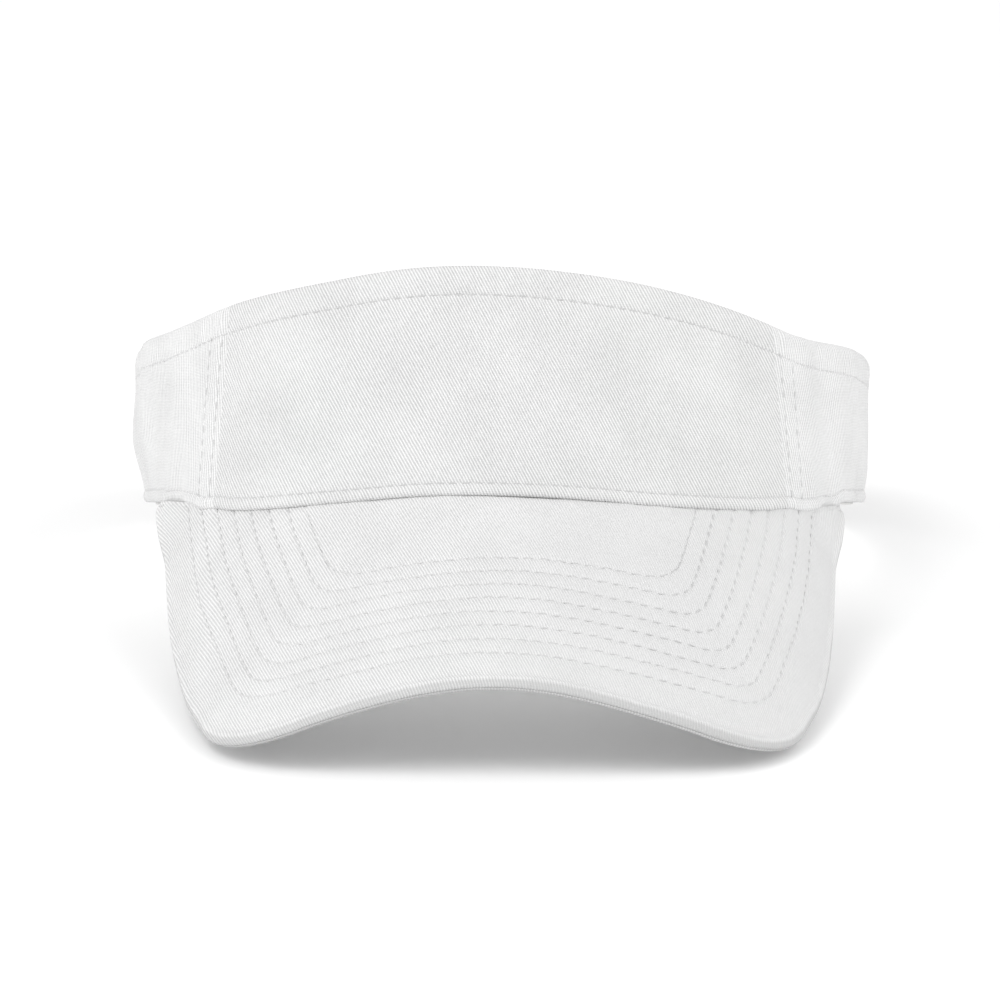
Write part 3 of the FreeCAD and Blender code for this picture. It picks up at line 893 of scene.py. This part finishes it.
def panel_grid(along, rows, relief):
    """Middle of a panel's cloth, from the foot roll over the upper edge to the hem inside."""
    foot = foot_edge(along)[:, None]
    top = top_edge(along)[:, None]
    low = foot + FOOT_ROLL[:, 1]
    high = top - TOP_ROLL[:, 1]
    share = np.linspace(0, 1, rows + 2)[1:-1]
    height = np.concatenate((low, mix(low[:, -1:], high[:, :1], share), high), 1)
    depth = np.concatenate((FOOT_ROLL[:, 0], np.zeros(rows), TOP_ROLL[:, 0]))
    stands = relief(along[:, None], height - foot, top - height) * smooth((1.6 - depth) / 1.6)
    to_middle = PLY / 2 * (1 - depth / 1.05)
    return band(along[:, None], depth + to_middle - stands, height)


def hem_puckers(along, below_top, seed):
    """Small upright gathers between the upper edge and the hem's stitches."""
    window = smooth(below_top) * smooth((HEM + 2.4 - below_top) / 3)
    return ripple(along, below_top, 4.2, seed, stretch=6.0) * window


def front_relief(along, above_foot, below_top):
    stands = 0.42 * ripple(along, above_foot, 52.0, 101) * smooth(above_foot / 8)
    stands += 0.10 * ripple(along, above_foot, 15.0, 102)
    stands += 0.07 * hem_puckers(along, below_top, 103)
    stands += 0.06 * ripple(along, above_foot, 5.0, 104, stretch=2.0) * hump(above_foot, 1.3, 1.6)
    return stands * smooth((SEAM - np.abs(along)) / 6) + 0.06


def side_relief(along, above_foot, below_top):
    beyond = np.abs(along) - SEAM
    stands = 0.30 * (smooth(beyond / 5) - smooth((beyond - 9.9) / 2)) - 0.08
    for row in SEAM_ROWS:
        stands = stands - 0.12 * hump(beyond, row, 0.6)
    stands = stands + 0.13 * ripple(along, above_foot, 6.0, 111, stretch=0.55) * hump(beyond, 6.0, 5.0)
    stands += 0.40 * ripple(along, above_foot, 34.0, 112, stretch=2.0) * smooth((beyond - 9) / 12)
    stands += 0.14 * ripple(along, above_foot, 10.0, 113, stretch=2.2) * smooth((beyond - 5) / 10)
    stands += 0.13 * hem_puckers(along, below_top, 114)
    stands += 0.09 * ripple(along, above_foot, 4.5, 115, stretch=3.0) * hump(above_foot, 1.3, 2.0)
    to_end = ARM_END - np.abs(along)
    return stands * smooth(to_end / 5) - 0.55 * (1 - smooth(to_end / 1.2))


def make_panel(name, replaced, material, along, rows, relief, weave, seed):
    """A panel of the band, the thread sewn along its hem and foot, and the outer face for more of it.

    weave is how far the cloth's ribs follow the place across instead of the distance along.
    """
    grid = panel_grid(along, rows, relief)
    across = mix(along[:, None], grid[:, :, 0], weave)
    ply = PLY * rim_taper(grid.shape[1])
    piece = add_cloth(name, material, "twill", replaced, grid, ply, across, run_along(grid))
    thread = Thread(seed)
    columns = [len(FOOT_ROLL) + rows + stitch for stitch in TOP_STITCHES]
    return piece, thread, thread.sew_columns(grid, PLY, columns + [FOOT_STITCH], 2)


def make_front_panel():
    along = steps_between(-SEAM, SEAM, 0.85)
    piece, thread = make_panel("front_panel_cloth", ["front_panel"], TWILL, along, FRONT_ROWS, front_relief,
                               0.8, 21)[:2]
    follow((piece, thread.piece("front_panel_stitching", THREAD_WHITE)))


def make_side_panel(side, word, seed):
    arm = word + "_arm"
    along = side * steps_between(SEAM, ARM_END, 0.9, [SEAM + row for row in SEAM_ROWS])[::side]
    piece, thread, face = make_panel(word + "_side_cloth", [word + "_side_panel", arm + "_panel"], SIDE_TWILL,
                                     along, SIDE_ROWS, side_relief, 0.0, seed)
    sewn = slice(FOOT_STITCH - 3, len(FOOT_ROLL) + SIDE_ROWS + TOP_STITCHES[0] + 4)
    for row in [SEAM + row for row in SEAM_ROWS] + [ARM_END - row for row in ARM_ROWS]:
        line = np.argmin(np.abs(np.abs(along) - row))
        thread.sew(face[0][line, sewn], face[1][line, sewn], phase=0.2)
    follow((piece, thread.piece(word + "_side_stitching", THREAD_WHITE)), arm)


def make_interlining():
    """The stiffening between the front panel and its lining."""
    along = np.linspace(-SEAM + 1.5, SEAM - 1.5, 110)[:, None]
    share = np.linspace(0, 1, 24)
    height = mix(foot_edge(along) + 1, top_edge(along) - 1.2, share)
    piece = add_cloth("front_interlining_cloth", INTERLINING, "interlining", ["front_interlining"],
                      band(along, INTERLINING_DEPTH, height), INTERLINING_PLY, along, height)
    follow([piece])


def make_lining(name, first, last, replaced, arm=None):
    along = np.linspace(first, last, int((last - first) / 1.2) + 1)[:, None]
    share = np.linspace(0, 1, 30)
    high = top_edge(along) - LINING_BELOW_TOP
    height = mix(foot_edge(along) + 0.5, high, share)
    sag = 0.07 * ripple(along, height, 17.0, 121)
    ends = np.minimum(along - first, last - along)
    depth = LINING_DEPTH + sag - 0.2 * (1 - smooth(ends))
    piece = add_cloth(name, LINING, "twill", [replaced], band(along, depth, height)[:, ::-1],
                      LINING_PLY * rim_taper(30), along, height[:, ::-1])
    follow([piece], arm)


# --- sweatband and label
def sweatband_grid(along):
    """Middle surface, thickness and heights of a stretch of the sweatband."""
    back = band(along, WALL, 0)[:, 1]
    low = np.interp(back, *np.transpose(SWEATBAND_FOOT))[:, None] + 0.15
    high = np.minimum(SWEATBAND_TOP, top_edge(along) - SWEATBAND_DROP)[:, None]
    edge = np.array((0.0, 0.1, 0.3, 0.6, 1.0, 1.5, 2.0, 2.4, 2.8, 3.4))
    share = np.linspace(0, 1, 22)[1:-1]
    middle = mix(low + edge[-1], high - edge[-1], share)
    height = np.concatenate((low + edge, middle, (high - edge)[:, ::-1]), 1)
    above = height - low
    below = high - height
    nearest = np.minimum(above, below)
    pulled = np.minimum(0.75 * hump(below, 2.4, 0.55) + 0.75 * hump(above, 2.4, 0.55), 1)
    thick = (SWEATBAND_END - WALL - 0.15) * rounded(nearest, 1.1) * (1 - 0.30 * pulled)
    soft = 0.14 * ripple(along[:, None], height, 8.0, 131) + 0.18 * smooth(nearest / 6)
    soft += 0.10 * ripple(along[:, None], height, 3.4, 132, stretch=3.0) * hump(nearest, 2.4, 3.0)
    thick = thick + soft * smooth(nearest)
    grid = band(along[:, None], WALL + 0.12 + thick / 2, height)
    return grid[:, ::-1], thick[:, ::-1], height[:, ::-1]


def make_sweatband(name, first, last, replaced, arm=None):
    along = np.linspace(first, last, int(last - first) + 1)
    grid, thick, height = sweatband_grid(along)
    ends = np.minimum(along - first, last - along)[:, None]
    thick = thick * (0.35 + 0.65 * smooth(ends / 0.9))
    piece = add_cloth(name, SWEATBAND, "sweatband", [replaced], grid, thick, along[:, None], height)
    thread = Thread(41)
    thread.sew_columns(grid, thick[..., None], (7, grid.shape[1] - 8), 1)
    follow((piece, thread.piece(name + "_stitching", THREAD_WHITE)), arm)


def make_label():
    """A blank woven label, folded in two with its fold on one side, standing on the sweatband."""
    first, last = (BAND.along(turn) for turn in LABEL_TURNS)
    length = last - first
    layer = np.linspace(0, length, 14)
    turn = np.linspace(0, math.pi, 9)[1:-1]
    out = np.concatenate((layer, length + 0.16 * np.sin(turn), layer[::-1]))
    deep = np.concatenate((np.zeros(14), 0.16 - 0.16 * np.cos(turn), np.full(14, 0.32)))
    run = run_along(np.stack((out, deep), -1))[:, None]
    height = np.linspace(*LABEL_HEIGHTS, 16)
    out = out[:, None]
    curl = 0.22 * (out / length) ** 2 + 0.05 * ripple(out, height, 7.0, 141)
    grid = band(first + out, SWEATBAND_END + 0.42 + deep[:, None] + curl, height)
    piece = add_cloth("care_label_cloth", SATIN, "label", ["care_label"], grid, LABEL_PLY, run, height)
    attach(piece, "left_arm")


# --- straps
def strap_section():
    """A strap's section, a flattened tube: depth from its middle, share of height, bulge beyond its edges."""
    flat = np.linspace(0, 1, 26)
    side = np.full(26, (STRAP_PLY - STRAP_CLOTH) / 2)
    turn = np.linspace(0, math.pi, 8)[1:-1]
    depth = np.concatenate((-side, -side[0] * np.cos(turn), side, side[0] * np.cos(turn)))
    share = np.concatenate((flat, np.ones(6), flat[::-1], np.zeros(6)))
    bulge = np.concatenate((0 * side, np.sin(turn), 0 * side, -np.sin(turn))) * side[0]
    return depth, share, bulge


def tip_rounding(distance):
    """How far a strap's edges draw in at this distance from its tip."""
    near = np.clip(TIP_RADIUS - distance, 0, TIP_RADIUS)
    return TIP_RADIUS - np.sqrt(TIP_RADIUS ** 2 - near ** 2)


def tail_thinning(across):
    """A strap is thinner where it is sewn between the layers of the arm."""
    return 1 - 0.55 * smooth((across - ARM_EDGE) / 1.4)


def tail_inset(across):
    return 0.6 * smooth((across - ARM_EDGE) / 1.2)


def tip_thinning(distance):
    return np.sqrt(np.clip(distance / 1.2, 0.05, 1))


def make_strap(name, across, middle_depth, thin, inset, seed):
    """A tube of cloth across the back with its edge stitching; the arguments are arrays along it."""
    depth, share, bulge = strap_section()
    across, thin, inset = across[:, None], thin[:, None], inset[:, None]
    squeeze = 1 - 0.35 * (hump(share, 0.09, 0.03) + hump(share, 0.91, 0.03))
    soft = 0.05 * ripple(across, STRAP_WIDTH * share, 7.0, 151)
    d = BACK_DEPTH - middle_depth[:, None] - thin * depth * squeeze - soft * np.sign(depth)
    w = mix(STRAP_LOW + inset + 0.7, STRAP_HIGH - inset - 0.7, share) + thin * bulge
    grid = np.stack(np.broadcast_arrays(across, d, w), -1)
    run = run_along(np.stack((depth, STRAP_WIDTH * share), -1))
    piece = add_cloth(name + "_cloth", SIDE_TWILL, "twill", [name], grid, STRAP_CLOTH, across, run, wrap=True)
    thread = Thread(seed)
    thread.sew_columns(grid, STRAP_CLOTH, STRAP_ROWS, 1, wrap=True)
    bend((piece, thread.piece(name + "_stitching", THREAD_WHITE)))


def add_fibres(name, kind, material, shape, count, first, last, margin, depth, outward, seed):
    """A field of small bent nylon fibres across the back, inside the strap's edges by a margin."""
    random = np.random.default_rng(seed)
    along = np.linspace(first, last, count[0])[:, None] + random.normal(0.0, 0.08, count)
    height = np.linspace(STRAP_LOW + margin, STRAP_HIGH - margin, count[1]) + random.normal(0.0, 0.08, count)
    turn = random.normal(0.0, 0.35, count).reshape(-1, 1)
    reach, out = np.transpose(shape)
    around = np.arange(4) * math.pi / 2
    u = (along.reshape(-1, 1) + reach * np.cos(turn))[..., None] + FIBRE_RADIUS * np.cos(around)
    w = (height.reshape(-1, 1) + reach * np.sin(turn))[..., None] + FIBRE_RADIUS * np.sin(around)
    d = BACK_DEPTH - depth - outward * out[:, None] + 0.5 * FIBRE_RADIUS * np.cos(around * 2)
    u, d, w = (values.ravel() for values in np.broadcast_arrays(u, d, w))
    size = 4 * len(shape)
    ring = np.arange(size).reshape(-1, 4)
    one = np.concatenate((grid_quads(ring, True), ring[:1, ::-1], ring[-1:]))
    faces = (one + np.arange(0, len(u), size)[:, None, None]).reshape(-1, 4)
    return add_piece(name, material, kind + "_tape", np.stack((u, d, w), -1), faces, np.stack((u, w, d), -1))


def add_tape(name, kind, material, first, last, faces, tip=None):
    """A flat woven tape across the back, between two depths."""
    across = np.linspace(first, last, int((last - first) / 0.8) + 2)[:, None]
    share = np.linspace(0, 1, 24)
    inset = 0 * across if tip is None else tip_rounding(np.abs(across - tip))
    inset = inset + TAPE_MARGIN
    w = mix(STRAP_LOW + inset, STRAP_HIGH - inset, share)
    d = BACK_DEPTH - (faces[0] + faces[1]) / 2 + 0.03 * ripple(across, w, 5.0, 161)
    grid = np.stack(np.broadcast_arrays(across, d, w), -1)
    piece = add_cloth(name + "_cloth", material, kind + "_tape", [name], grid,
                      (faces[1] - faces[0]) * rim_taper(24, 1), across, w)
    return piece


def make_loop_strap():
    """The inner strap, which steps in under the outer one, with its loop tape and pile."""
    across = np.linspace(-STRAP_TAIL, LOOP_TIP, 96)
    middle = 1 + (LOOP_STRAP_FACE + STRAP_PLY / 2 - 1) * smooth((across + 46.5) / 7.5)
    to_tip = LOOP_TIP - across
    make_strap("loop_strap", across, middle, tail_thinning(-across) * tip_thinning(to_tip),
               tip_rounding(to_tip) + tail_inset(-across), 51)
    tape = add_tape("loop_tape", "loop", LOOP_TAPE, -LOOP_TAPE_START, LOOP_TIP - TAPE_MARGIN,
                    (LOOP_FACE + 0.35, LOOP_STRAP_FACE + 0.1), tip=LOOP_TIP)
    pile = add_fibres("loop_tape_pile", "loop", LOOP_TAPE, LOOP_FIBRE, (62, 24), -LOOP_TAPE_START + 0.8,
                      LOOP_TIP - 4.5, 4.2, LOOP_FACE + 0.38, -1.0, 52)
    for part in (tape, pile):
        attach(part, "left_strap")


def add_hooks(name, columns, first, last, seed):
    return add_fibres(name, "hook", HOOK_TAPE, HOOK_FIBRE, (columns, 20), first, last, 3.2,
                      STRAP_PLY + HOOK_TAPE_PLY - 0.36, 1.0, seed)


def make_hook_strap():
    """The sewn part of the outer strap, with its hook tape."""
    across = np.linspace(STRAP_SPLIT, STRAP_TAIL, 48)
    middle = np.full_like(across, STRAP_PLY / 2)
    make_strap("hook_strap", across, middle, tail_thinning(across), tail_inset(across), 53)
    tape = add_tape("hook_tape", "hook", HOOK_TAPE, STRAP_SPLIT, HOOK_TIP, HOOK_FACES)
    hooks = add_hooks("hook_tape_hooks", 12, STRAP_SPLIT + 0.8, HOOK_TIP - 0.8, 54)
    for part in (tape, hooks):
        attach(part, "right_strap")


def make_hook_tab():
    """The free end of the outer strap, which peels."""
    across = np.linspace(-HOOK_TIP, STRAP_SPLIT, 46)
    middle = np.full_like(across, STRAP_PLY / 2)
    to_tip = across + HOOK_TIP
    make_strap("hook_tab", across, middle, tip_thinning(to_tip), tip_rounding(to_tip), 55)
    tape = add_tape("hook_tab_tape", "hook", HOOK_TAPE, -HOOK_TIP + TAPE_MARGIN, STRAP_SPLIT, HOOK_FACES,
                    tip=-HOOK_TIP)
    hooks = add_hooks("hook_tab_hooks", 26, -HOOK_TIP + 5.0, STRAP_SPLIT - 0.8, 56)
    bend((tape, hooks))


def make_tacks(word, edge, seed):
    """Two bars of dense stitching that hold a strap to its arm."""
    thread = Thread(seed)
    up = np.array(((0.0, 1.0, 0.0),))

    def sew_line(u, depth, w, *stitch, **more):
        line = np.stack(np.broadcast_arrays(u, BACK_DEPTH - depth, w), -1)
        thread.sew(line, np.repeat(up, len(line), 0), *stitch, **more)

    for low in (STRAP_LOW + 1.5, STRAP_HIGH - TACK_HEIGHT - 1.5):
        for off in np.arange(0.0, 2.01, 0.4):
            w = np.linspace(low, low + TACK_HEIGHT, 40)
            sew_line(edge + off, 0.0, w, 1.5, 0.95, 0.42, phase=0.3 * (off % 0.8))
        for w in np.arange(low + 0.3, low + TACK_HEIGHT - 0.1, 0.55):
            sew_line(np.linspace(edge - 0.5, edge + 2.5, 12), -0.12, w, 3.0, 0.95, 0.4)
    piece = thread.piece(word + "_strap_bartacks", THREAD_WHITE)
    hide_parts(word + "_strap_tacks")
    bend([piece])


# --- camera and lights
def to_direction(direction):
    """Rotation that turns a lamp's or camera's -Z to this direction, with no roll."""
    level = math.hypot(direction[0], direction[1])
    return (math.atan2(level, -direction[2]), 0.0, math.atan2(-direction[0], direction[1]))


def make_floor():
    corners = [(FLOOR_HALF * x, FLOOR_HALF * y, 0.0) for x, y in ((-1, -1), (1, -1), (1, 1), (-1, 1))]
    mesh = bpy.data.meshes.new("floor")
    mesh.from_pydata(corners, [], [(0, 1, 2, 3)])
    pale = bpy.data.materials.new("pale_floor")
    pale.use_nodes = True
    shader = pale.node_tree.nodes["Principled BSDF"]
    shader.inputs["Base Color"].default_value = (0.95, 0.95, 0.95, 1.0)
    shader.inputs["Roughness"].default_value = 1.0
    mesh.materials.append(pale)
    link("floor", mesh)


def make_lights():
    world = bpy.data.worlds.new("studio")
    world.use_nodes = True
    background = world.node_tree.nodes["Background"]
    background.inputs["Color"].default_value = (1.0, 1.0, 1.0, 1.0)
    background.inputs["Strength"].default_value = WORLD_LIGHT
    bpy.context.scene.world = world
    for name, place, size, power in LIGHTS:
        light = bpy.data.lights.new(name, "AREA")
        light.shape = "DISK"
        light.size = size
        light.energy = power
        lamp = link(name, light)
        lamp.location = place
        lamp.rotation_euler = to_direction(np.subtract(LIGHTS_AIM, place))


def make_camera():
    """A long lens, level with the head opening, as far away as shows FIELD metres across."""
    data = bpy.data.cameras.new("camera")
    data.lens = LENS
    data.sensor_width = SENSOR
    data.clip_end = 100.0
    camera = link("camera", data)
    camera.location = tuple(ORIGIN + ACROSS * AIM[0] + UP * AIM[1] - BACK * FIELD * LENS / SENSOR)
    camera.rotation_euler = to_direction(BACK)
    bpy.context.scene.camera = camera


make_bill()
make_insert()
make_front_panel()
make_interlining()
make_side_panel(-1, "left", 32)
make_side_panel(1, "right", 31)
make_lining("front_lining_cloth", -SEAM, SEAM, "front_lining")
make_lining("left_lining_cloth", -ARM_END + 0.6, -SEAM, "left_arm_lining", "left_arm")
make_lining("right_lining_cloth", SEAM, ARM_END - 0.6, "right_arm_lining", "right_arm")
distances = np.linspace(0, BAND.length, 2000)
split = float(np.interp(SWEATBAND_SPLIT_DEPTH, band(distances, WALL, 0)[:, 1], distances))
sweatband_last = BAND.along(SWEATBAND_END_TURN)
make_sweatband("sweatband_front_cloth", -split, split, "sweatband_front")
make_sweatband("sweatband_left_cloth", -sweatband_last, -split, "sweatband_left", "left_arm")
make_sweatband("sweatband_right_cloth", split, sweatband_last, "sweatband_right", "right_arm")
make_label()
make_loop_strap()
make_hook_strap()
make_hook_tab()
make_tacks("loop", -45.5, 61)
make_tacks("hook", 41.5, 62)
for material_slot in frame["nodes"]["sweatband_pad"].material_slots:
    material_slot.material = FOAM  # the pad can't be seen and stays as its CAD solid

make_floor()
make_lights()
make_camera()
bpy.context.scene.view_settings.view_transform = "Standard"
